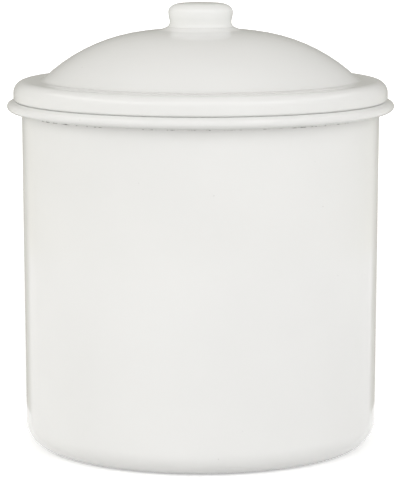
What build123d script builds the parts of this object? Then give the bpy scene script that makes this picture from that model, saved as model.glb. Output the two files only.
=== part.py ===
from build123d import *
import os
from math import acos, asin, cos, degrees, radians, sin, sqrt, tan

# An enamelled steel canister with a domed lid and a hollow knob, in millimetres.
# +Z is up, and the origin is the centre of the base, on the surface that it stands on.
# Every pressing is one sheet that follows an outline of straight runs and bends. The
# outline is drawn as radius and height, and the sheet is turned about the Z axis.

# Sheet: steel with its glass coat on both faces
wall = 1.0

# Canister body
canister_height = 157.4
mouth_radius = 80.0
wall_draft = 0.4
base_corner = 11.0
base_raise = 1.0
base_step_bend = 6.0
base_step_inset = 12.0

# Rolled rim of the body, from the flare of the mouth outwards
rim_flare = 4.0
rim_flat = 0.36
rim_height = 4.9
rim_crown = 4.1
rim_nose = 2.0
rim_tuck_gap = 0.15

# Lid: the bead at its edge, which goes down and curls in under itself, and the gap at which
# it rests on the rolled rim
seat_gap = 0.3
bead_overhang = 0.76
bead_bottom_inside = 0.4
bead_side = 2.03
bead_top_bend = 5.4
bead_curl = 30.0
bead_collar_gap = 0.3

# Lid: the shoulder, and the dome over it
shoulder_width = 6.3
dome_rise = 23.4
crown_radius = 209.0
crown_reach = 27.5
valley_bend = 3.0

# Lid: the raised seat under the knob
knob_seat_inset = 0.33
knob_seat_bend = 1.5
knob_seat_slope = 28.5
knob_flare = 11.8

# Collar inside the lid
collar_clearance = 1.0
collar_depth = 9.0
collar_flange = 5.0
collar_bend = 2.0
collar_lead_bend = 6.0
collar_lead_turn = 25.0

# Knob
knob_radius = 14.66
knob_height = 11.1
knob_top_crown = 87.0
knob_shoulder_bend = 7.0
knob_shoulder_slope = 40.0
knob_edge_bend = 3.1
knob_side_bend = 9.8
knob_side_turn = 16.0
knob_waist_bend = 6.9
knob_foot_bend = 2.4
knob_foot_turn = 50.0

# Threaded bracket in the knob
bracket_wall = 1.0
bracket_gap = 0.1
bracket_height = 5.0
bracket_bend = 1.8
bracket_neck = 2.0
bracket_skirt = 2.0
thread_clearance = 0.05

# Screw and washer under the lid
screw_radius = 2.0
screw_tip = 1.2
screw_hole_clearance = 0.3
screw_head_radius = 4.0
screw_head_height = 2.4
screw_head_fillet = 1.2
screw_slot_width = 1.0
screw_slot_depth = 1.1
washer_radius = 5.5
washer_thickness = 0.8
washer_clearance = 0.2


class Outline:
    """One face of a pressing, as runs and bends in radius and height.

    The heading is in degrees, where 0 points away from the axis and 90 points up.
    A positive turn is to the left, and a positive depth lies to the left of the face.
    """

    def __init__(self, radius, height, heading):
        self.radius = radius
        self.height = height
        self.heading = heading
        self.steps = []

    def run(self, length):
        """Go straight on."""
        start = (self.radius, self.height)
        self.radius += length * cos(radians(self.heading))
        self.height += length * sin(radians(self.heading))
        self.steps.append(("run", start, (self.radius, self.height), self.heading))

    def run_to_radius(self, radius):
        """Go straight on until the face has this radius."""
        self.run((radius - self.radius) / cos(radians(self.heading)))

    def run_to_height(self, height):
        """Go straight on until the face has this height."""
        self.run((height - self.height) / sin(radians(self.heading)))

    def bend(self, bend_radius, turn):
        """Turn by an angle on a bend of this radius."""
        side = 1 if turn > 0 else -1
        centre_radius = self.radius - side * bend_radius * sin(radians(self.heading))
        centre_height = self.height + side * bend_radius * cos(radians(self.heading))
        centre = (centre_radius, centre_height)
        self.steps.append(("bend", centre, side * bend_radius, self.heading, turn))
        self.heading += turn
        self.radius = centre_radius + side * bend_radius * sin(radians(self.heading))
        self.height = centre_height - side * bend_radius * cos(radians(self.heading))

    def face_points(self, depth):
        """Start, middle and end of each step, on the surface at this depth."""
        rows = []
        for step in self.steps:
            if step[0] == "run":
                _, start, end, heading = step
                across = (-depth * sin(radians(heading)), depth * cos(radians(heading)))
                rows.append([Vector(x + across[0], 0, z + across[1]) for x, z in (start, end)])
            else:
                _, centre, signed_radius, heading, turn = step
                reach = signed_radius - depth
                angles = [radians(heading + turn * share) for share in (0, 0.5, 1)]
                rows.append(
                    [Vector(centre[0] + reach * sin(a), 0, centre[1] - reach * cos(a)) for a in angles]
                )
        return rows

    def sheet(self, depth, round_start=True, round_end=True):
        """The turned solid between the face and the surface at this depth."""
        near = self.face_points(0)
        far = [points[::-1] for points in self.face_points(depth)[::-1]]
        end_edge = sheet_edge(near[-1][-1], far[0][0], near[-1][-2], round_end)
        start_edge = sheet_edge(far[-1][-1], near[0][0], far[-1][-2], round_start)
        edges = [through(points) for points in near] + [end_edge]
        edges += [through(points) for points in far] + [start_edge]
        return revolve(make_face(Wire(edges)), Axis.Z)


def through(points):
    """A line through two points or an arc through three."""
    if len(points) == 2:
        return Edge.make_line(points[0], points[1])
    return Edge.make_three_point_arc(points[0], points[1], points[2])


def sheet_edge(first, last, before, rounded):
    """The cut edge of a sheet, flat or rounded over by the enamel."""
    if not rounded:
        return Edge.make_line(first, last)
    across = last - first
    outward = Vector(across.Z, 0, -across.X).normalized()
    if outward.dot(first - before) < 0:
        outward = outward * -1
    return Edge.make_three_point_arc(first, (first + last) * 0.5 + outward * (across.length / 2), last)


# Rolled rim: how far its section reaches out from the middle of its crown
rim_half_height = rim_height / 2
rim_crown_turn = degrees(acos((rim_crown - rim_half_height) / (rim_crown - rim_nose)))
rim_reach = (rim_crown - rim_nose) * sin(radians(rim_crown_turn)) + rim_nose

# Body: the wall leans out by its draft, between the base corner and the flare of the mouth
flare_centre_radius = mouth_radius + rim_flare
flare_centre_height = canister_height - rim_flare
draft = radians(wall_draft)
bend_sum = base_corner + rim_flare - wall
wall_run = (canister_height - wall - bend_sum * (1 - sin(draft))) / cos(draft)
corner_centre_radius = flare_centre_radius - bend_sum * cos(draft) - wall_run * sin(draft)

# Lid: the bead rests on the rim, so the lid's height follows from the two bends
bead_radius = flare_centre_radius + bead_overhang
bead_bottom_bend = wall + bead_bottom_inside
bead_bottom_centre_radius = bead_radius - bead_bottom_bend
centre_distance = rim_flare + bead_bottom_bend + seat_gap
centre_offset = flare_centre_radius - bead_bottom_centre_radius
bead_bottom_centre_height = flare_centre_height + sqrt(centre_distance**2 - centre_offset**2)
shoulder_height = bead_bottom_centre_height + bead_side + bead_top_bend

# Lid: the flank's bend is the one that meets the crown and the valley in one slope each,
# and ends where the shoulder starts
crown_slope = asin(crown_reach / crown_radius)
valley_end_radius = bead_radius - bead_top_bend - shoulder_width
bends = crown_radius + valley_bend
across = valley_end_radius - bends * sin(crown_slope)
down = dome_rise - bends * (1 - cos(crown_slope))
flank_and_valley = (across**2 + down**2) / (2 * (down * cos(crown_slope) - across * sin(crown_slope)))
flank_radius = flank_and_valley - valley_bend
flank_slope = asin((across + flank_and_valley * sin(crown_slope)) / flank_and_valley)
crown_centre_height = shoulder_height + dome_rise - crown_radius

# Knob: the slope where its crown meets its shoulder, its waist, and the rim of its foot
shoulder_slope = radians(knob_shoulder_slope)
side_turn = radians(knob_side_turn)
foot_turn = radians(knob_foot_turn)
knob_top_slope = asin(
    (knob_radius - knob_shoulder_bend * sin(shoulder_slope) - knob_edge_bend * (1 - sin(shoulder_slope)))
    / (knob_top_crown - knob_shoulder_bend)
)
knob_waist_radius = knob_radius - (knob_side_bend + knob_waist_bend) * (1 - cos(side_turn))
knob_top_fall = (
    knob_top_crown * (1 - cos(knob_top_slope))
    + knob_shoulder_bend * (cos(knob_top_slope) - cos(shoulder_slope))
    + knob_edge_bend * cos(shoulder_slope)
)
knob_side_fall = (knob_side_bend + knob_waist_bend) * sin(side_turn) + knob_foot_bend * sin(foot_turn)
knob_foot_run = knob_height - knob_top_fall - knob_side_fall
knob_foot_radius = (
    knob_waist_radius + knob_foot_bend * (1 - cos(foot_turn)) + knob_foot_run * tan(foot_turn)
)

# Lid: the flare of the knob's seat leaves the crown in one slope
seat_slope = radians(knob_seat_slope)
knob_seat_radius = knob_foot_radius - knob_seat_inset
seat_bend_end = knob_seat_radius + knob_seat_bend * sin(seat_slope)
flare_start_slope = asin((seat_bend_end + knob_flare * sin(seat_slope)) / (crown_radius + knob_flare))
flare_top = crown_centre_height + (crown_radius + knob_flare) * cos(flare_start_slope)
knob_seat_height = flare_top - knob_flare * cos(seat_slope) + knob_seat_bend * (1 - cos(seat_slope))

# Collar: it hangs from the underside of the shoulder and drops into the mouth, and the bead's
# rounded edge stops short of it
collar_radius = mouth_radius - collar_clearance
collar_bottom = canister_height - collar_depth
bead_end_radius = collar_radius + bead_collar_gap + wall / 2 * (1 - sin(radians(bead_curl)))

# Screw: its head sits on the washer under the lid
screw_seat_height = knob_seat_height - wall - washer_thickness
screw_length = washer_thickness + wall + bracket_height + screw_tip


def canister_body():
    """Base, wall and rolled rim in one deep drawn pressing. The outline is its outside."""
    step_turn = degrees(acos(1 - base_raise / (2 * base_step_bend)))
    outline = Outline(0, base_raise, 0)
    outline.run_to_radius(corner_centre_radius - base_step_inset)
    outline.bend(base_step_bend, -step_turn)
    outline.bend(base_step_bend, step_turn)
    outline.run_to_radius(corner_centre_radius)
    outline.bend(base_corner, 90 - wall_draft)
    outline.run(wall_run)
    outline.bend(rim_flare - wall, wall_draft - 90)
    outline.run(rim_flat)
    outline.bend(rim_crown - wall, -rim_crown_turn)
    outline.bend(rim_nose - wall, 2 * rim_crown_turn - 180)
    outline.bend(rim_crown - wall, -rim_crown_turn)
    outline.run_to_radius(mouth_radius + wall + rim_tuck_gap + wall / 2)
    return outline.sheet(wall, round_start=False)


def lid_shell():
    """Seat, dome, valley, shoulder and bead in one pressing. The outline is its top face."""
    outline = Outline(screw_radius + screw_hole_clearance, knob_seat_height, 0)
    outline.run_to_radius(knob_seat_radius)
    outline.bend(knob_seat_bend, -knob_seat_slope)
    outline.bend(knob_flare, knob_seat_slope - degrees(flare_start_slope))
    outline.bend(crown_radius, degrees(flare_start_slope - crown_slope))
    outline.bend(flank_radius, degrees(crown_slope - flank_slope))
    outline.bend(valley_bend, degrees(flank_slope))
    outline.run(shoulder_width)
    outline.bend(bead_top_bend, -90)
    outline.run(bead_side)
    outline.bend(bead_bottom_bend, -90 - bead_curl)
    outline.run_to_radius(bead_end_radius)
    return outline.sheet(-wall, round_start=False)


def lid_collar():
    """Ring with a flange that is welded flat under the shoulder. The outline is its outside."""
    outline = Outline(collar_radius - collar_flange, shoulder_height - wall, 0)
    outline.run_to_radius(collar_radius - collar_bend)
    outline.bend(collar_bend, -90)
    outline.run_to_height(collar_bottom + collar_lead_bend * sin(radians(collar_lead_turn)))
    outline.bend(collar_lead_bend, -collar_lead_turn)
    return outline.sheet(-wall)


def knob_shell():
    """Hollow knob, cut flat where its foot stands on the seat. The outline is its outside."""
    outline = Outline(0, knob_seat_height + knob_height, 0)
    outline.bend(knob_top_crown, -degrees(knob_top_slope))
    outline.bend(knob_shoulder_bend, degrees(knob_top_slope) - knob_shoulder_slope)
    outline.bend(knob_edge_bend, knob_shoulder_slope - 90)
    outline.bend(knob_side_bend, -knob_side_turn)
    outline.bend(knob_waist_bend, knob_side_turn)
    outline.bend(knob_foot_bend, knob_foot_turn)
    outline.run_to_height(knob_seat_height - wall)
    shell = outline.sheet(-wall, round_start=False, round_end=False)
    cut_depth = 2 * wall
    below_seat = Cylinder(2 * knob_radius, cut_depth, align=(Align.CENTER, Align.CENTER, Align.MAX))
    return shell - Pos(0, 0, knob_seat_height) * below_seat


def knob_bracket():
    """Plate with a threaded neck and a skirt, welded into the knob's waist."""
    top = knob_seat_height + bracket_height
    skirt_radius = knob_waist_radius - wall - bracket_gap
    outline = Outline(screw_radius + thread_clearance, top - bracket_bend - bracket_neck, 90)
    outline.run(bracket_neck)
    outline.bend(bracket_bend, -90)
    outline.run_to_radius(skirt_radius - bracket_bend)
    outline.bend(bracket_bend, -90)
    outline.run(bracket_skirt)
    return outline.sheet(-bracket_wall, round_start=False, round_end=False)


def knob_washer():
    """Flat washer between the screw's head and the enamel inside the lid."""
    ring = Cylinder(washer_radius, washer_thickness) - Cylinder(
        screw_radius + washer_clearance, washer_thickness
    )
    return Pos(0, 0, screw_seat_height + washer_thickness / 2) * ring


def knob_screw():
    """Slotted screw that comes up through the washer and the lid into the bracket."""
    shank = Pos(0, 0, screw_length / 2) * Cylinder(screw_radius, screw_length)
    head = Pos(0, 0, -screw_head_height / 2) * Cylinder(screw_head_radius, screw_head_height)
    head = fillet(head.edges().filter_by(GeomType.CIRCLE).sort_by(Axis.Z)[0], screw_head_fillet)
    cut_length = 3 * screw_head_radius
    slot_cutter = Box(
        cut_length,
        screw_slot_width,
        screw_slot_depth,
        align=(Align.CENTER, Align.CENTER, Align.MIN),
    )
    screw = shank + head - Pos(0, 0, -screw_head_height) * slot_cutter
    return Pos(0, 0, screw_seat_height) * screw


nodes = {
    "canister_body": canister_body,
    "lid_shell": lid_shell,
    "lid_collar": lid_collar,
    "knob_shell": knob_shell,
    "knob_bracket": knob_bracket,
    "knob_washer": knob_washer,
    "knob_screw": knob_screw,
}

os.makedirs("parts", exist_ok=True)
for node, make in nodes.items():
    export_step(make(), "parts/" + node + ".step")
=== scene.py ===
# %% [markdown]
# An enamelled steel canister: a deep drawn pot with a rolled rim, a domed lid that rests in the
# mouth, and a hollow knob. The CAD frame holds every piece at its real size. Here each piece gets a
# smoother skin and its own finish, and stays exactly where the frame has it.

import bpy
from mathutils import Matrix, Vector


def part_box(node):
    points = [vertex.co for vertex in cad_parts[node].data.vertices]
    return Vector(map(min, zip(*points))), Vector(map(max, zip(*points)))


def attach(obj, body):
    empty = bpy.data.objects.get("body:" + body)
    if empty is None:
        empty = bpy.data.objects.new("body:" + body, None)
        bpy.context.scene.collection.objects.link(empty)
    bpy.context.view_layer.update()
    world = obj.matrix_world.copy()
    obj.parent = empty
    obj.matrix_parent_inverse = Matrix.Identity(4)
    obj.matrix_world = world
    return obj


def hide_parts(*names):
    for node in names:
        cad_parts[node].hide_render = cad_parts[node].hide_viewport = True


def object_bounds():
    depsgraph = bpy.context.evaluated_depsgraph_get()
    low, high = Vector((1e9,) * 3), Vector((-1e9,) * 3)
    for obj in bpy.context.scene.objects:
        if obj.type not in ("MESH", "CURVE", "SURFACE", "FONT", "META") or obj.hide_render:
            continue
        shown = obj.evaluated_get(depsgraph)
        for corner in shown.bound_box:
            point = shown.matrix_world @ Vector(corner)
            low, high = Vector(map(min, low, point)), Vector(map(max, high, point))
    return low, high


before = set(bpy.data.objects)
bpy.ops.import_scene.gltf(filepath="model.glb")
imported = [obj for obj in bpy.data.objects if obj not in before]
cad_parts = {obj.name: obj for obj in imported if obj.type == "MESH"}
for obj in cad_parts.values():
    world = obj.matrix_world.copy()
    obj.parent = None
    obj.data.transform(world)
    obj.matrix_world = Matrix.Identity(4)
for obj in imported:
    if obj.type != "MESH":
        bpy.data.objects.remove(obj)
cad_low, cad_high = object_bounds()
cad_size = [round(high - low, 4) for low, high in zip(cad_low, cad_high)]
print("The frame has", len(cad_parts), "nodes in a box of", cad_size, "m")

# %% [markdown]
# The camera comes first, because every later choice is judged through it. The picture was taken
# with a long lens from a little above the rim, so verticals hardly converge and the mouth shows as
# a thin ellipse. A long lens far away gives that; a short one close by would fan the sides out.

# %% Place the camera
from collections import namedtuple
from math import acos, asin, atan2, ceil, cos, degrees, pi, radians, sin, sqrt

import bpy
from mathutils import Vector

mm = 0.001
camera_place = (0.2 * mm, -1209.4 * mm, 267.6 * mm)
camera_tilt = 81.795
camera_lens = 200.9
sensor_size = 36.0

camera = bpy.data.objects.new("camera", bpy.data.cameras.new("camera"))
bpy.context.scene.collection.objects.link(camera)
camera.location = camera_place
camera.rotation_euler = (radians(camera_tilt), 0, 0)
camera.data.lens = camera_lens
camera.data.sensor_width = sensor_size
camera.data.clip_start = 0.05
camera.data.clip_end = 50
bpy.context.scene.camera = camera
bpy.context.scene.view_settings.view_transform = "Standard"
print("Lens of", camera_lens, "mm at", round(Vector(camera_place).length, 3), "m")

# %% [markdown]
# Every pressing of this object is one sheet of steel that follows an outline, turned about the
# upright axis. An outline is easiest to give as a tool maker would: straight runs, and bends of a
# radius and an angle. A small walker notes where it has been, and gives the face again at any depth,
# so the inside of a sheet always lies one wall from its outside.

# %% A walker for outlines
bend_step = 5.0
run_step = 6 * mm
edge_angles = (30, 60, 90, 120, 150)


class Outline:
    """Runs and bends in radius and height. Heading 0 points away from the axis, 90 points up."""

    def __init__(self, radius, height, heading):
        self.radius = radius
        self.height = height
        self.heading = heading
        self.marks = [(radius, height, heading)]

    def mark(self):
        self.marks.append((self.radius, self.height, self.heading))

    def run(self, length):
        """Go straight on, with a mark every few millimetres."""
        steps = max(1, ceil(length / run_step))
        for _ in range(steps):
            self.radius += length / steps * cos(radians(self.heading))
            self.height += length / steps * sin(radians(self.heading))
            self.mark()

    def run_to_radius(self, radius):
        """Go straight on to this radius."""
        self.run((radius - self.radius) / cos(radians(self.heading)))

    def run_to_height(self, height):
        """Go straight on to this height."""
        self.run((height - self.height) / sin(radians(self.heading)))

    def bend(self, bend_radius, turn):
        """Turn on a bend. A positive turn is to the left."""
        side = 1 if turn > 0 else -1
        arc = bend_radius * abs(radians(turn))
        steps = max(2, ceil(abs(turn) / bend_step), ceil(arc / run_step))
        for _ in range(steps):
            start = radians(self.heading)
            self.heading += turn / steps
            end = radians(self.heading)
            self.radius += side * bend_radius * (sin(end) - sin(start))
            self.height += side * bend_radius * (cos(start) - cos(end))
            self.mark()

    def face(self, depth=0.0):
        """The marks as radius and height, moved to the left by this depth."""
        points = []
        for radius, height, heading in self.marks:
            angle = radians(heading)
            points.append((radius - depth * sin(angle), height + depth * cos(angle)))
        return points


def rounded_edge(start, end, heading):
    """Points of the half circle that closes a sheet's edge, between its two faces."""
    middle = ((start[0] + end[0]) / 2, (start[1] + end[1]) / 2)
    reach = sqrt((end[0] - start[0]) ** 2 + (end[1] - start[1]) ** 2) / 2
    first = atan2(start[1] - middle[1], start[0] - middle[0])
    ahead = radians(heading)
    side = 1 if sin(ahead - first) > 0 else -1
    angles = [first + side * radians(angle) for angle in edge_angles]
    return [(middle[0] + reach * cos(a), middle[1] + reach * sin(a)) for a in angles]


print("A bend is marked every", bend_step, "degrees, a run every", run_step / mm, "mm")

# %% [markdown]
# A turned shell can be spun from a drawn line, or raised ring by ring from a circle, the way a
# potter pulls a wall. The ring is used here: each step extrudes the last ring, lifts it and scales
# it to the next radius. The result is even quads with no seam, and the same function makes every
# round piece here. A ring that ends on the axis is merged to one point, which closes the pole.

# %% Raise a shell ring by ring
sides = 256
pole = 0.05 * mm


def all_deselected():
    """Leave edit mode and deselect everything, because an operator acts on all that is selected."""
    if bpy.context.object and bpy.context.object.mode != "OBJECT":
        bpy.ops.object.mode_set(mode="OBJECT")
    bpy.ops.object.select_all(action="DESELECT")


def step_to(last, point):
    """Extrude the selected ring from its last radius and height to the next ones."""
    bpy.ops.mesh.extrude_edges_move(TRANSFORM_OT_translate={"value": (0, 0, point[1] - last[1])})
    scale = point[0] / last[0]
    bpy.ops.transform.resize(value=(scale, scale, 1), center_override=(0, 0, point[1]))


def raise_shell(name, points, closed):
    """One mesh through the rings. A closed section ends on its first ring, an open one on the axis."""
    rings = [(max(radius, pole), height) for radius, height in points]
    if closed:
        rings.append(rings[0])
    all_deselected()
    bpy.ops.mesh.primitive_circle_add(vertices=sides, radius=rings[0][0], location=(0, 0, rings[0][1]))
    shell = bpy.context.object
    shell.name = name
    bpy.ops.object.transform_apply(location=True)
    bpy.ops.object.mode_set(mode="EDIT")
    bpy.ops.mesh.select_mode(type="EDGE")
    bpy.ops.mesh.select_all(action="SELECT")
    for last, point in zip(rings, rings[1:]):
        step_to(last, point)
    bpy.ops.mesh.select_mode(type="VERT")
    bpy.ops.mesh.select_all(action="SELECT")
    bpy.ops.mesh.remove_doubles(threshold=pole / 10)
    if not closed:
        close_poles(shell)
    bpy.ops.mesh.select_all(action="SELECT")
    bpy.ops.mesh.normals_make_consistent(inside=False)
    bpy.ops.object.mode_set(mode="OBJECT")
    return shell


def close_poles(shell):
    """Merge the two tiny rings on the axis, each to its own centre."""
    bpy.ops.object.mode_set(mode="OBJECT")
    heights = sorted({round(v.co.z, 6) for v in shell.data.vertices if v.co.xy.length < 2 * pole})
    for height in heights:
        bpy.ops.object.mode_set(mode="EDIT")
        bpy.ops.mesh.select_all(action="DESELECT")
        bpy.ops.object.mode_set(mode="OBJECT")
        for vertex in shell.data.vertices:
            vertex.select = vertex.co.xy.length < 2 * pole and abs(vertex.co.z - height) < pole
        bpy.ops.object.mode_set(mode="EDIT")
        bpy.ops.mesh.merge(type="CENTER")


def stand_for(piece, node, body):
    """The piece rides on its body, takes the place of its node, and prints how well they agree."""
    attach(piece, body)
    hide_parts(node)
    low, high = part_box(node)
    corners = [Vector(corner) for corner in piece.bound_box]
    own_low = [min(corner[axis] for corner in corners) for axis in range(3)]
    own_high = [max(corner[axis] for corner in corners) for axis in range(3)]
    apart = [abs(a - b) for a, b in zip(own_low + own_high, list(low) + list(high))]
    faces = len(piece.data.polygons)
    print(piece.name, "has", faces, "faces, off its node's box by", round(max(apart) / mm, 2), "mm")


print("Every ring has", sides, "sides")

# %% [markdown]
# The pot is drawn from one disc of steel: a base that is raised a little in its middle, a round
# corner, and a wall that leans out by less than half a degree. The mouth is flared and rolled over
# to a hollow bead, which hides the cut edge and keeps the mouth round. The outline walks the outside
# from the middle of the base to the edge that is tucked under the rim.

# %% Canister body
wall = 1.0 * mm
canister_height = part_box("canister_body")[1].z
mouth_radius = 80.0 * mm
wall_draft = 0.4
base_corner = 11.0 * mm
base_raise = 1.0 * mm
base_step_bend = 6.0 * mm
base_step_inset = 12.0 * mm
rim_flare = 4.0 * mm
rim_flat = 0.36 * mm
rim_height = 4.9 * mm
rim_crown = 4.1 * mm
rim_nose = 2.0 * mm
rim_tuck_gap = 0.15 * mm

rim_crown_turn = degrees(acos((rim_crown - rim_height / 2) / (rim_crown - rim_nose)))
flare_centre_radius = mouth_radius + rim_flare


def body_outline():
    """The outside of the body, from the middle of the base to the edge under the rim."""
    draft = radians(wall_draft)
    bends = base_corner + rim_flare - wall
    wall_run = (canister_height - wall - bends * (1 - sin(draft))) / cos(draft)
    corner_radius = flare_centre_radius - bends * cos(draft) - wall_run * sin(draft)
    step_turn = degrees(acos(1 - base_raise / (2 * base_step_bend)))
    outline = Outline(0, base_raise, 0)
    outline.run_to_radius(corner_radius - base_step_inset)
    outline.bend(base_step_bend, -step_turn)
    outline.bend(base_step_bend, step_turn)
    outline.run_to_radius(corner_radius)
    outline.bend(base_corner, 90 - wall_draft)
    outline.run(wall_run)
    outline.bend(rim_flare - wall, wall_draft - 90)
    outline.run(rim_flat)
    outline.bend(rim_crown - wall, -rim_crown_turn)
    outline.bend(rim_nose - wall, 2 * rim_crown_turn - 180)
    outline.bend(rim_crown - wall, -rim_crown_turn)
    outline.run_to_radius(mouth_radius + wall + rim_tuck_gap + wall / 2)
    return outline


outline = body_outline()
outside = outline.face()
inside = outline.face(wall)[::-1]
edge = rounded_edge(outside[-1], inside[0], outline.heading)
canister_body = raise_shell("canister_body_skin", outside + edge + inside, closed=False)
stand_for(canister_body, "canister_body", "canister")

# %% [markdown]
# The lid is one pressing too. From the middle outwards it has the flat seat of the knob, a short
# flare down to the shallow crown, a steeper flank, a small valley, a flat shoulder, and a bead that
# is rolled down and in. The bead rests on the rim. The bend of the flank is worked out, so that
# crown, flank and valley meet without a crease. The solids keep a clearance between lid and rim, and
# here the bead settles by most of it, because the real slit is only a hair wide.

# %% Lid shell
bead_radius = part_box("lid_shell")[1].x
shoulder_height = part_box("lid_collar")[1].z + wall
knob_seat_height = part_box("knob_shell")[0].z
knob_foot_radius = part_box("knob_shell")[1].x
collar_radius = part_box("lid_collar")[1].x
bead_bottom_inside = 0.4 * mm
bead_bottom_bend = wall + bead_bottom_inside
bead_side = 2.03 * mm
bead_settle = 0.29 * mm
bead_top_bend = 5.4 * mm
bead_curl = 30.0
bead_collar_gap = 0.3 * mm
shoulder_width = 6.3 * mm
dome_rise = 23.4 * mm
crown_radius = 209.0 * mm
crown_reach = 27.5 * mm
valley_bend = 3.0 * mm
knob_seat_inset = 0.33 * mm
knob_seat_bend = 1.5 * mm
knob_seat_slope = 28.5
knob_flare = 11.8 * mm
screw_hole_radius = 2.3 * mm


def lid_outline():
    """The top face of the lid, from the screw's hole to the edge inside the bead."""
    crown_slope = asin(crown_reach / crown_radius)
    crown_and_valley = crown_radius + valley_bend
    across = bead_radius - bead_top_bend - shoulder_width - crown_and_valley * sin(crown_slope)
    down = dome_rise - crown_and_valley * (1 - cos(crown_slope))
    lean = down * cos(crown_slope) - across * sin(crown_slope)
    flank_and_valley = (across**2 + down**2) / (2 * lean)
    flank_slope = asin((across + flank_and_valley * sin(crown_slope)) / flank_and_valley)
    seat_radius = knob_foot_radius - knob_seat_inset
    seat_slope = radians(knob_seat_slope)
    flare_centre = seat_radius + (knob_seat_bend + knob_flare) * sin(seat_slope)
    flare_slope = asin(flare_centre / (crown_radius + knob_flare))
    outline = Outline(screw_hole_radius, knob_seat_height, 0)
    outline.run_to_radius(seat_radius)
    outline.bend(knob_seat_bend, -knob_seat_slope)
    outline.bend(knob_flare, knob_seat_slope - degrees(flare_slope))
    outline.bend(crown_radius, degrees(flare_slope - crown_slope))
    outline.bend(flank_and_valley - valley_bend, degrees(crown_slope - flank_slope))
    outline.bend(valley_bend, degrees(flank_slope))
    outline.run(shoulder_width)
    outline.bend(bead_top_bend, -90)
    outline.run(bead_side + bead_settle)
    outline.bend(bead_bottom_bend, -90 - bead_curl)
    edge_reach = wall / 2 * (1 - sin(radians(bead_curl)))
    outline.run_to_radius(collar_radius + bead_collar_gap + edge_reach)
    return outline


outline = lid_outline()
outside = outline.face()
inside = outline.face(-wall)[::-1]
edge = rounded_edge(outside[-1], inside[0], outline.heading)
lid_shell = raise_shell("lid_skin", outside + edge + inside, closed=True)
stand_for(lid_shell, "lid_shell", "lid")

# %% [markdown]
# The collar is the ring inside the lid that drops into the mouth. Its flange is welded flat under
# the shoulder, and its lower edge leans in, so that the lid finds the mouth by itself.

# %% Lid collar
collar_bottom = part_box("lid_collar")[0].z
collar_flange = 5.0 * mm
collar_bend = 2.0 * mm
collar_lead_bend = 6.0 * mm
collar_lead_turn = 25.0
collar_depth = 9.0 * mm


def collar_outline():
    """The outside of the collar, from its flange to its leaning lower edge."""
    lead_height = collar_lead_bend * sin(radians(collar_lead_turn))
    outline = Outline(collar_radius - collar_flange, shoulder_height - wall, 0)
    outline.run_to_radius(collar_radius - collar_bend)
    outline.bend(collar_bend, -90)
    outline.run_to_height(canister_height - collar_depth + lead_height)
    outline.bend(collar_lead_bend, -collar_lead_turn)
    return outline


outline = collar_outline()
outside = outline.face()
inside = outline.face(-wall)[::-1]
lower_edge = rounded_edge(outside[-1], inside[0], outline.heading)
upper_edge = rounded_edge(inside[-1], outside[0], 180)
lid_collar = raise_shell("lid_collar_skin", outside + lower_edge + inside + upper_edge, closed=True)
stand_for(lid_collar, "lid_collar", "lid")

# %% [markdown]
# The knob is a small hollow pressing with a nearly flat top, a soft edge, a slight waist and a foot
# that stands on the lid's seat. Its foot is cut level, so the last points of both faces are moved
# to the height of the seat.

# %% Knob shell
knob_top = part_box("knob_shell")[1].z
knob_radius = 14.66 * mm
knob_top_crown = 87.0 * mm
knob_shoulder_bend = 7.0 * mm
knob_shoulder_slope = 40.0
knob_edge_bend = 3.1 * mm
knob_side_bend = 9.8 * mm
knob_side_turn = 16.0
knob_waist_bend = 6.9 * mm
knob_foot_bend = 2.4 * mm
knob_foot_turn = 50.0


def knob_outline():
    """The outside of the knob, from the middle of its top to a little below its seat."""
    slope = radians(knob_shoulder_slope)
    rest = knob_radius - knob_shoulder_bend * sin(slope) - knob_edge_bend * (1 - sin(slope))
    top_slope = degrees(asin(rest / (knob_top_crown - knob_shoulder_bend)))
    outline = Outline(0, knob_top, 0)
    outline.bend(knob_top_crown, -top_slope)
    outline.bend(knob_shoulder_bend, top_slope - knob_shoulder_slope)
    outline.bend(knob_edge_bend, knob_shoulder_slope - 90)
    outline.bend(knob_side_bend, -knob_side_turn)
    outline.bend(knob_waist_bend, knob_side_turn)
    outline.bend(knob_foot_bend, knob_foot_turn)
    outline.run_to_height(knob_seat_height - wall)
    return outline


def cut_level(points, height):
    """The points above this height, and the place where the line crosses it."""
    kept = [points[0]]
    for last, point in zip(points, points[1:]):
        if point[1] < height:
            share = (last[1] - height) / (last[1] - point[1])
            return kept + [(last[0] + share * (point[0] - last[0]), height)]
        kept.append(point)
    return kept


outline = knob_outline()
outside = cut_level(outline.face(), knob_seat_height)
inside = cut_level(outline.face(-wall), knob_seat_height)[::-1]
knob_shell = raise_shell("knob_skin", outside + inside, closed=False)
stand_for(knob_shell, "knob_shell", "lid")

# %% [markdown]
# Under the knob, out of sight until the lid is lifted, a screw comes up through a washer into a
# threaded bracket. The bracket is a small cup pressed from plate and welded inside the knob, and the
# washer is punched and keeps the screw's head off the enamel. Both are round, so both are raised
# like the pressings, from a section that closes on itself.

# %% Bracket and washer
bracket_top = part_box("knob_bracket")[1].z
skirt_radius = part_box("knob_bracket")[1].x
bracket_wall = 1.0 * mm
bracket_bend = 1.8 * mm
bracket_neck = 2.0 * mm
bracket_skirt = 2.0 * mm
thread_clearance = 0.05 * mm
screw_radius = 2.0 * mm
washer_edge = 0.2 * mm
washer_clearance = 0.2 * mm


def bracket_points():
    """The section of the bracket, round its neck, plate and skirt."""
    outline = Outline(screw_radius + thread_clearance, bracket_top - bracket_bend - bracket_neck, 90)
    outline.run(bracket_neck)
    outline.bend(bracket_bend, -90)
    outline.run_to_radius(skirt_radius - bracket_bend)
    outline.bend(bracket_bend, -90)
    outline.run(bracket_skirt)
    return outline.face() + outline.face(-bracket_wall)[::-1]


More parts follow.
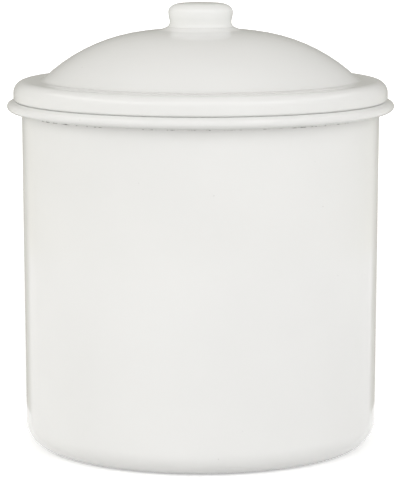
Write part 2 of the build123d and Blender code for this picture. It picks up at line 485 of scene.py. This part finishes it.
def washer_points():
    """The section of the washer, with the soft upper edge that a punch leaves."""
    low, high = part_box("knob_washer")
    hole_radius = screw_radius + washer_clearance
    outline = Outline(hole_radius, high.z, 0)
    outline.run_to_radius(high.x - washer_edge)
    outline.bend(washer_edge, -90)
    outline.run_to_height(low.z + washer_edge)
    outline.bend(washer_edge, -90)
    outline.run_to_radius(hole_radius)
    return outline.face()


knob_bracket = raise_shell("knob_bracket_skin", bracket_points(), closed=True)
stand_for(knob_bracket, "knob_bracket", "lid")
knob_washer = raise_shell("knob_washer_skin", washer_points(), closed=True)
stand_for(knob_washer, "knob_washer", "lid")

# %% [markdown]
# The screw is turned from bar, and its thread is rolled on. A thread is a ridge that climbs as it
# turns, which is what the Screw modifier makes from a small triangle. The slot is sawn across the
# head, and a Boolean modifier with a thin box does the same. The head faces down, into the lid.

# %% Screw
thread_depth = 0.35 * mm
thread_pitch = 0.7 * mm
thread_steps = 32
screw_chamfer = 0.4 * mm
screw_head_radius = 4.0 * mm
screw_head_height = 2.4 * mm
screw_head_fillet = 1.2 * mm
screw_slot_width = 1.0 * mm
screw_slot_depth = 1.1 * mm
screw_low, screw_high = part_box("knob_screw")


def screw_points():
    """The outside of the screw, from the middle of its head up to the middle of its tip."""
    outline = Outline(0, screw_low.z, 0)
    outline.run_to_radius(screw_head_radius - screw_head_fillet)
    outline.bend(screw_head_fillet, 90)
    outline.run_to_height(screw_low.z + screw_head_height)
    core = screw_radius - thread_depth
    shank = [(core, screw_low.z + screw_head_height), (core, screw_high.z - screw_chamfer)]
    tip = [(core - screw_chamfer, screw_high.z), (0, screw_high.z)]
    return outline.face() + shank + tip


def thread_ridge():
    """A triangle, swept up the shank by the Screw modifier, and closed at both ends."""
    start = screw_low.z + screw_head_height + thread_pitch
    turns = int((screw_high.z - screw_chamfer - start - thread_pitch / 2) / thread_pitch)
    all_deselected()
    bpy.ops.mesh.primitive_circle_add(vertices=3, radius=thread_pitch / 2, fill_type="NOTHING")
    ridge = bpy.context.object
    core = screw_radius - thread_depth
    corners = [(core, -thread_pitch / 2), (screw_radius, 0), (core, thread_pitch / 2)]
    for vertex, (radius, height) in zip(ridge.data.vertices, corners):
        vertex.co = (radius, 0, start + height)
    modifier = ridge.modifiers.new("thread", "SCREW")
    modifier.screw_offset = thread_pitch
    modifier.iterations = turns
    modifier.steps = thread_steps
    modifier.render_steps = thread_steps
    modifier.use_merge_vertices = True
    bpy.ops.object.modifier_apply(modifier=modifier.name)
    bpy.ops.object.mode_set(mode="EDIT")
    bpy.ops.mesh.select_all(action="SELECT")
    bpy.ops.mesh.fill_holes(sides=len(corners))
    bpy.ops.mesh.select_all(action="SELECT")
    bpy.ops.mesh.normals_make_consistent(inside=False)
    bpy.ops.object.mode_set(mode="OBJECT")
    return ridge


def slotted(screw):
    """Cut the slot across the head with a Boolean modifier."""
    all_deselected()
    cutter_size = (3 * screw_head_radius, screw_slot_width, 2 * screw_slot_depth)
    bpy.ops.mesh.primitive_cube_add(size=1, location=(0, 0, screw_low.z), scale=cutter_size)
    cutter = bpy.context.object
    bpy.ops.object.transform_apply(location=True, rotation=True, scale=True)
    all_deselected()
    screw.select_set(True)
    bpy.context.view_layer.objects.active = screw
    modifier = screw.modifiers.new("slot", "BOOLEAN")
    modifier.operation = "DIFFERENCE"
    modifier.object = cutter
    bpy.ops.object.modifier_apply(modifier=modifier.name)
    bpy.data.objects.remove(cutter)


knob_screw = raise_shell("knob_screw_skin", screw_points(), closed=False)
slotted(knob_screw)
ridge = thread_ridge()
all_deselected()
ridge.select_set(True)
knob_screw.select_set(True)
bpy.context.view_layer.objects.active = knob_screw
bpy.ops.object.join()
stand_for(knob_screw, "knob_screw", "lid")

# %% [markdown]
# All of these faces are flat until they are shaded smooth. Pressed sheet is smooth everywhere except
# at its cut edges, so only edges that turn by more than the crease angle stay sharp, such as the
# foot of the knob, the slot of the screw and its thread.

# %% Smooth shading
crease = 35.0
for piece in (canister_body, lid_shell, lid_collar, knob_shell, knob_bracket, knob_washer, knob_screw):
    all_deselected()
    piece.select_set(True)
    bpy.context.view_layer.objects.active = piece
    bpy.ops.object.shade_smooth_by_angle(angle=radians(crease))
print("Edges under", crease, "degrees are smooth")

# %% [markdown]
# A finish is a small tree of nodes. Writing it as arithmetic keeps it readable, so one class wraps a
# socket and turns sums and products into Math nodes, and one method adds any other node.

# %% Helpers for finishes


class Value:
    """A socket that can be added, multiplied and so on."""

    def __init__(self, tree, socket):
        self.tree = tree
        self.socket = socket

    def maths(self, operation, first, second):
        node = self.tree.nodes.new("ShaderNodeMath")
        node.operation = operation
        for place, value in enumerate((first, second)):
            if isinstance(value, Value):
                self.tree.links.new(value.socket, node.inputs[place])
            else:
                node.inputs[place].default_value = value
        return Value(self.tree, node.outputs[0])

    def __add__(self, other):
        return self.maths("ADD", self, other)

    __radd__ = __add__

    def __sub__(self, other):
        return self.maths("SUBTRACT", self, other)

    def __rsub__(self, other):
        return self.maths("SUBTRACT", other, self)

    def __mul__(self, other):
        return self.maths("MULTIPLY", self, other)

    __rmul__ = __mul__

    def __truediv__(self, other):
        return self.maths("DIVIDE", self, other)

    def __pow__(self, other):
        return self.maths("POWER", self, other)

    def larger(self, other):
        return self.maths("MAXIMUM", self, other)

    def sine(self):
        return self.maths("SINE", self, 0.0)


class Finish:
    """The nodes of a material, or of the world, and the shader that they feed."""

    def __init__(self, name, world=False):
        kind = bpy.data.worlds if world else bpy.data.materials
        self.block = kind.new(name)
        self.block.use_nodes = True
        self.tree = self.block.node_tree
        self.shader = self.tree.nodes["Background" if world else "Principled BSDF"]

    def node(self, kind, settings=None, sockets=None, output=0):
        """Any node: its settings first, then its sockets by name or number."""
        made = self.tree.nodes.new("ShaderNode" + kind)
        for name, value in (settings or {}).items():
            if name == "stops":
                self.set_stops(made.color_ramp.elements, value)
            else:
                setattr(made, name, value)
        for name, value in (sockets or {}).items():
            self.fill(made.inputs[name], value)
        return Value(self.tree, made.outputs[output])

    def set_stops(self, elements, stops):
        """Stops of a colour ramp, each a place and a colour."""
        while len(elements) < len(stops):
            elements.new(1.0)
        for element, (place, colour) in zip(elements, stops):
            element.position = place
            element.color = (*colour, 1)

    def noise(self, place, scale, detail, roughness=0.5):
        """Noise from 0 to 1, with this many lumps to the metre."""
        sockets = {"Vector": place, "Scale": scale, "Detail": detail, "Roughness": roughness}
        return self.node("TexNoise", None, sockets)

    def fill(self, socket, value):
        """Link a value or set a number."""
        if isinstance(value, Value):
            self.tree.links.new(value.socket, socket)
        else:
            socket.default_value = value

    def step(self, value, low, high):
        """0 below the low value, 1 above the high one, and smooth between."""
        sockets = {"Value": value, "From Min": low, "From Max": high}
        return self.node("MapRange", {"interpolation_type": "SMOOTHSTEP"}, sockets)

    def set(self, name, value):
        """One socket of the shader."""
        self.fill(self.shader.inputs[name], value)

    def blend(self, factor, first, second):
        """A mix of two colours."""
        sockets = {0: factor, 6: first, 7: second}
        return self.node("Mix", {"data_type": "RGBA"}, sockets, output=2)


def wear(piece, finish):
    """Give a piece one finish."""
    piece.data.materials.clear()
    piece.data.materials.append(finish.block)


print("Finishes are written as sums and products of sockets")

# %% [markdown]
# Vitreous enamel is a coat of white glass, fired onto steel. It is thin at cut edges, where the dark
# ground coat shows through in small chips. Chips need a place, so each edge is given as a ring of
# the piece, by its radius and height, how far it reaches and how bare it is at most, and noise
# decides where along the ring the coat is missing. One ring lies on the wall in the crease under the
# rolled rim, where the rim's shadow falls: its broken dark line is partly chips in the coat and partly
# painted shade. Here and there the glass holds a dark speck, and the foot is scuffed by shelves.

# %% Chips, painted shade under the rim, specks and scuffs
chip_and_shade_scale = 420.0
chip_and_shade_start = 1.05
chip_and_shade_end = 1.12
speck_scale = 700.0
speck_start = 0.89
speck_end = 0.92
speck_strength = 0.2
scuff_strength = 0.7
ChipAndShadeRing = namedtuple("ChipAndShadeRing", "radius height reach most")


def from_axis(finish, place):
    """The distance from the upright axis, and the height."""
    east = finish.node("SeparateXYZ", None, {0: place}, output="X")
    north = finish.node("SeparateXYZ", None, {0: place}, output="Y")
    height = finish.node("SeparateXYZ", None, {0: place}, output="Z")
    return (east * east + north * north) ** 0.5, height


def near_edges(radius, height, edges):
    """How dark each ring makes the coat, bare near the edges and painted shade under the rim: most on
    the ring, and less by 1 at its reach.
    """
    bareness_and_shade = radius * 0
    for edge in edges:
        out = radius - edge.radius
        up = height - edge.height
        bareness_and_shade = bareness_and_shade.larger(edge.most - (out * out + up * up) ** 0.5 / edge.reach)
    return bareness_and_shade


def scuffed(finish, radius, height, grain, foot):
    """Grey scuffs on the ring of the base that slides over shelves."""
    inner, outer = foot
    low = 1 - finish.step(height, 0.0, 0.3 * mm)
    past_inner = finish.step(radius, inner - 2 * mm, inner)
    past_outer = finish.step(radius, outer, outer + 1.5 * mm)
    across = past_inner * (1 - past_outer)
    return low * across * finish.step(grain, 0.5, 0.62) * scuff_strength


def darkened(finish, place, edges, foot):
    """Where the enamel is dark: chips along the edges, painted shade and chips under the rim, specks,
    and scuffs on the foot.
    """
    radius, height = from_axis(finish, place)
    grain = finish.noise(place, chip_and_shade_scale, 5.0, 0.65)
    # Chips along the edges, and on the ring under the rim painted shade as well as chips.
    chips_and_shade = finish.step(near_edges(radius, height, edges) + grain, chip_and_shade_start, chip_and_shade_end)
    specks = finish.step(finish.noise(place, speck_scale, 0.0), speck_start, speck_end)
    dark = chips_and_shade.larger(specks * speck_strength)
    if foot:
        dark = dark.larger(scuffed(finish, radius, height, grain, foot))
    return dark


under_rim = canister_height - rim_height
rim_cut = ChipAndShadeRing(mouth_radius + wall + rim_tuck_gap + wall / 2, under_rim, reach=1.4 * mm, most=0.55)
# Painted shade: a broken dark line on the wall in the crease under the rolled rim, where the rim's
# shadow falls, partly chips in the coat.
chips_and_shade_under_rim = ChipAndShadeRing(mouth_radius + wall, under_rim - 0.9 * mm, reach=1.2 * mm, most=0.56)
bead_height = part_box("lid_shell")[0].z + 2 * wall
bead_cut = ChipAndShadeRing(collar_radius + 2 * bead_collar_gap, bead_height, reach=1.4 * mm, most=0.65)
hole_cut = ChipAndShadeRing(screw_hole_radius, knob_seat_height - wall / 2, reach=0.9 * mm, most=1.0)
collar_cut = ChipAndShadeRing(collar_radius - wall, collar_bottom, reach=1.2 * mm, most=0.65)
knob_cut = ChipAndShadeRing(knob_foot_radius - wall, knob_seat_height, reach=0.6 * mm, most=0.5)
standing_ring = (62.0 * mm, 69.0 * mm)
print("The rim is bare at most", rim_cut.most, "and the hole for the screw", hole_cut.most)

# %% [markdown]
# Light enters the white glass and comes back white, and its face mirrors the room weakly, like any
# glass. The coat is never quite flat: it has a fine ripple from the firing, and a tone that drifts
# where it lies thicker. Where the coat is missing the surface is dark, rougher and a little lower,
# and so is the line of painted shade under the rim.
# One function makes the enamel of every piece, and the knob's is a little cooler, as in the picture.

# %% Enamel
warm_white = (0.829, 0.833, 0.821)
cool_white = (0.85, 0.856, 0.842)
# The colour of bare ground coat, which also paints the shade under the rim.
ground_coat_and_shade = (0.13, 0.125, 0.12)
thick_coat = 0.975
drift_scale = 14.0
gloss = 0.1
film_scale = 60.0
film_haze = 0.04
dark_haze = 0.35
ripple_scale = 230.0
ripple_strength = 0.03
coat_depth = 0.6


def enamel(name, colour, edges, foot=None):
    """White glass on steel, bare in places along its edges, dark with painted shade on the ring under
    the rim, and scuffed on its foot.
    """
    finish = Finish(name)
    place = finish.node("TexCoord", output="Object")
    dark = darkened(finish, place, edges, foot)
    drift = finish.step(finish.noise(place, drift_scale, 2.0), 0.3, 0.7)
    thicker = tuple(thick_coat * part for part in colour)
    coat = finish.blend(drift, (*colour, 1), (*thicker, 1))
    film = finish.noise(place, film_scale, 4.0)
    relief = finish.noise(place, ripple_scale, 1.5) - dark * coat_depth
    bump = {"Strength": ripple_strength, "Distance": 0.5 * mm, "Height": relief}
    finish.set("Base Color", finish.blend(dark, coat, (*ground_coat_and_shade, 1)))
    finish.set("Roughness", gloss + film * film_haze + dark * dark_haze)
    finish.set("Normal", finish.node("Bump", None, bump))
    return finish


# The body's enamel carries the painted shade line under the rim.
body_enamel = enamel("body_enamel", warm_white, [rim_cut, chips_and_shade_under_rim], standing_ring)
lid_enamel = enamel("lid_enamel", warm_white, [bead_cut, hole_cut])
collar_enamel = enamel("collar_enamel", warm_white, [collar_cut])
knob_enamel = enamel("knob_enamel", cool_white, [knob_cut])
wear(canister_body, body_enamel)
wear(lid_shell, lid_enamel)
wear(lid_collar, collar_enamel)
wear(knob_shell, knob_enamel)
print("Enamel of", len(body_enamel.tree.nodes), "nodes on the body, its roughness from", gloss)

# %% [markdown]
# The fittings under the knob are plain metal. The bracket is zinc plated, which leaves a dull coat
# with a cloudy pattern. The screw and its washer are stainless steel, turned or punched, and the
# tool leaves fine rings round the axis, which a sine of the radius draws.

# %% Metals
zinc_bright = (0.66, 0.66, 0.65, 1)
zinc_dull = (0.5, 0.51, 0.52, 1)
steel_colour = (0.72, 0.715, 0.7, 1)
cloud_scale = 500.0
haze_scale = 700.0
ring_spacing = 0.12 * mm
ring_depth = 0.02 * mm


def zinc_plate():
    """Dull plating with cloudy patches."""
    finish = Finish("zinc_plate")
    place = finish.node("TexCoord", output="Object")
    cloud = finish.step(finish.noise(place, cloud_scale, 3.0), 0.35, 0.65)
    finish.set("Base Color", finish.blend(cloud, zinc_bright, zinc_dull))
    finish.set("Metallic", 1.0)
    finish.set("Roughness", 0.32 + cloud * 0.16)
    return finish


def turned_stainless():
    """Bright steel with the fine rings of a turning tool."""
    finish = Finish("turned_stainless")
    place = finish.node("TexCoord", output="Object")
    radius, _ = from_axis(finish, place)
    rings = (radius * (2 * pi / ring_spacing)).sine()
    haze = finish.noise(place, haze_scale, 2.0)
    relief = finish.node("Bump", None, {"Strength": 0.2, "Distance": ring_depth, "Height": rings})
    finish.set("Base Color", steel_colour)
    finish.set("Metallic", 1.0)
    finish.set("Roughness", 0.2 + haze * 0.12 + rings * 0.03)
    finish.set("Normal", relief)
    return finish


zinc = zinc_plate()
stainless = turned_stainless()
wear(knob_bracket, zinc)
wear(knob_washer, stainless)
wear(knob_screw, stainless)
print("Metals:", zinc.block.name, "and", stainless.block.name)

# %% [markdown]
# White on white is only readable by its edges, and the edge of a glossy thing is a mirror of what
# stands behind it. The studio is built for that, in three steps. First the floor: matt pale paper
# that runs to the horizon. It takes the light and the shadow of the canister as any floor does, and
# a little glow brings it to white for the camera and in reflections, so no lamp has to.

# %% Floor
floor_reach = 12.0
floor_colour = (0.8, 0.8, 0.8, 1)
near_glow = 0.42
far_glow = 0.85
glow_start = 0.3
glow_end = 1.6
all_deselected()
bpy.ops.mesh.primitive_circle_add(vertices=64, radius=floor_reach, fill_type="NGON")
floor = bpy.context.object
floor.name = "floor"


def seen_directly(finish):
    """1 for rays from the camera, a mirror or glass, which show the background as it is."""
    camera_ray = finish.node("LightPath", output="Is Camera Ray")
    glossy_ray = finish.node("LightPath", output="Is Glossy Ray")
    transmission_ray = finish.node("LightPath", output="Is Transmission Ray")
    return camera_ray + glossy_ray + transmission_ray


def floor_finish():
    """Matt paper, with a glow that only shows in the picture and in reflections."""
    finish = Finish("pale_floor")
    finish.set("Base Color", floor_colour)
    finish.set("Roughness", 1.0)
    finish.set("Specular IOR Level", 0.0)
    finish.set("Emission Color", (1, 1, 1, 1))
    place = finish.node("TexCoord", output="Object")
    away = finish.node("VectorMath", {"operation": "LENGTH"}, {0: place}, output="Value")
    glow = near_glow + (far_glow - near_glow) * finish.step(away, glow_start, glow_end)
    finish.set("Emission Strength", seen_directly(finish) * glow)
    return finish


wear(floor, floor_finish())
print("Floor of", 2 * floor_reach, "m across")

# %% [markdown]
# Then the grey cards. A photographer of white things stands them just outside the picture, so that
# each edge mirrors grey and draws itself as a thin line. The near one is bent round the back of the
# canister, and is darkest at the height that the edges of the lid and the knob mirror. The far one
# runs all the way round, so that the edges draw themselves from every side, and fades to white at
# its foot, where the floor takes over. The camera doesn't see the cards and they light nothing: they
# only show in reflections.

# %% Grey cards
near_card_radius = 0.125
near_card_height = 0.34
near_card_start = 0.045
near_card_greys = [(0.11, 0.54), (0.18, 0.34), (0.2, 0.34), (near_card_height, 0.55)]
far_card_radius = 0.62
far_card_height = 0.52
far_card_greys = [(0.0, 1.0), (0.14, 0.55), (far_card_height, 0.5)]
card_tint = (1.0, 0.98, 0.87)
card_sides = 96


def card_finish(name, height, greys):
    """Warm greys that no lamp changes. Each is a height on the card and a grey."""
    finish = Finish(name)
    place = finish.node("TexCoord", output="Object")
    up = finish.node("SeparateXYZ", None, {0: place}, output="Z") / height
    stops = [(level / height, tuple(grey * part for part in card_tint)) for level, grey in greys]
    finish.set("Base Color", (0, 0, 0, 1))
    finish.set("Specular IOR Level", 0.0)
    finish.set("Emission Color", finish.node("ValToRGB", {"stops": stops}, {"Fac": up}))
    finish.set("Emission Strength", 1.0)
    return finish


def grey_card(name, radius, height):
    """A ring that stands on the floor and only shows in reflections."""
    all_deselected()
    middle = (0, 0, height / 2)
    bpy.ops.mesh.primitive_cylinder_add(
        vertices=card_sides, radius=radius, depth=height, end_fill_type="NOTHING", location=middle
    )
    card = bpy.context.object
    card.name = name
    bpy.ops.object.transform_apply(location=True)
    card.visible_camera = False
    card.visible_diffuse = False
    card.visible_shadow = False
    return card


def kept_behind(card, start):
    """Cut away what isn't at least this far behind the canister's axis."""
    bpy.ops.object.mode_set(mode="EDIT")
    bpy.ops.mesh.select_all(action="SELECT")
    bpy.ops.mesh.bisect(plane_co=(0, start, 0), plane_no=(0, 1, 0), clear_inner=True)
    bpy.ops.object.mode_set(mode="OBJECT")


near_card = grey_card("near_card", near_card_radius, near_card_height)
kept_behind(near_card, near_card_start)
wear(near_card, card_finish("near_card", near_card_height, near_card_greys))
far_card = grey_card("far_card", far_card_radius, far_card_height)
wear(far_card, card_finish("far_card", far_card_height, far_card_greys))
print("Cards of", len(near_card.data.polygons), "and", len(far_card.data.polygons), "faces")

# %% [markdown]
# Last the light: one wide soft box over the camera that does most of the work, one on each side, and
# one far behind for the back. A faint one overhead keeps the dome and the shoulder light, and two
# small ones only show in reflections and put the highlights on the bead and the knob. Each box is
# given by its size and the brightness of its face, so it can be moved without a new guess at its
# watts.

# %% Lamps
rim_centre = Vector((0, 0, canister_height))


def soft_box(name, azimuth, elevation, distance, size, radiance, colour=(1, 1, 1)):
    """A soft box aimed at the rim. Azimuth 0 is the camera's side, and 90 is +X."""
    turn, lift = radians(azimuth), radians(elevation)
    away = Vector((sin(turn) * cos(lift), -cos(turn) * cos(lift), sin(lift)))
    width, height = size
    light = bpy.data.objects.new(name, bpy.data.lights.new(name, "AREA"))
    bpy.context.scene.collection.objects.link(light)
    light.data.shape = "RECTANGLE"
    light.data.size = width
    light.data.size_y = height
    light.data.energy = radiance * pi * width * height
    light.data.color = colour
    light.location = rim_centre + away * distance
    light.rotation_euler = away.to_track_quat("Z", "Y").to_euler()
    light.visible_camera = False
    print(name, "shines at", radiance, "from", distance, "m")
    return light


front_colour = (0.985, 0.985, 1.0)
left_colour = (1.0, 0.99, 0.96)
right_colour = (0.985, 0.985, 0.985)
soft_box("front_box", 8, 31, distance=2.2, size=(4.6, 2.0), radiance=1.33, colour=front_colour)
soft_box("top_box", 0, 88, distance=2.4, size=(2.4, 2.4), radiance=0.12)
soft_box("left_box", -80, 22, distance=1.9, size=(3.4, 1.8), radiance=1.14, colour=left_colour)
soft_box("right_box", 85, 22, distance=1.9, size=(3.4, 1.8), radiance=0.86, colour=right_colour)
soft_box("back_box", 180, 20, distance=4.5, size=(5.0, 2.2), radiance=2.0)
glints = [
    soft_box("left_glint", -58, 27, distance=0.9, size=(0.60, 0.50), radiance=0.4),
    soft_box("right_glint", 37, 22, distance=0.9, size=(0.20, 0.30), radiance=2.6),
]
for glint in glints:
    glint.visible_diffuse = False

# %% [markdown]
# The room around it is white at the horizon and grey above, which is what the camera sees, and what
# the enamel mirrors past the cards. Everything that isn't a mirror only gets an even, slightly warm
# fill from it, so that no side of the canister falls into the dark.

# %% Room
horizon_top = 0.12
grey_start = 0.2
room_grey = (0.5, 0.48, 0.42, 1)
room_fill = (0.26, 0.25, 0.235, 1)


def room_world():
    """White at the horizon, grey above, and an even fill for what isn't a mirror."""
    finish = Finish("room", world=True)
    place = finish.node("TexCoord", output="Generated")
    height = finish.node("SeparateXYZ", None, {0: place}, output="Z")
    up = finish.step(height, horizon_top, grey_start)
    walls = finish.blend(up, (1, 1, 1, 1), room_grey)
    finish.set("Color", finish.blend(seen_directly(finish), room_fill, walls))
    return finish.block


bpy.context.scene.world = room_world()
print("The room's fill is", room_fill[:3])
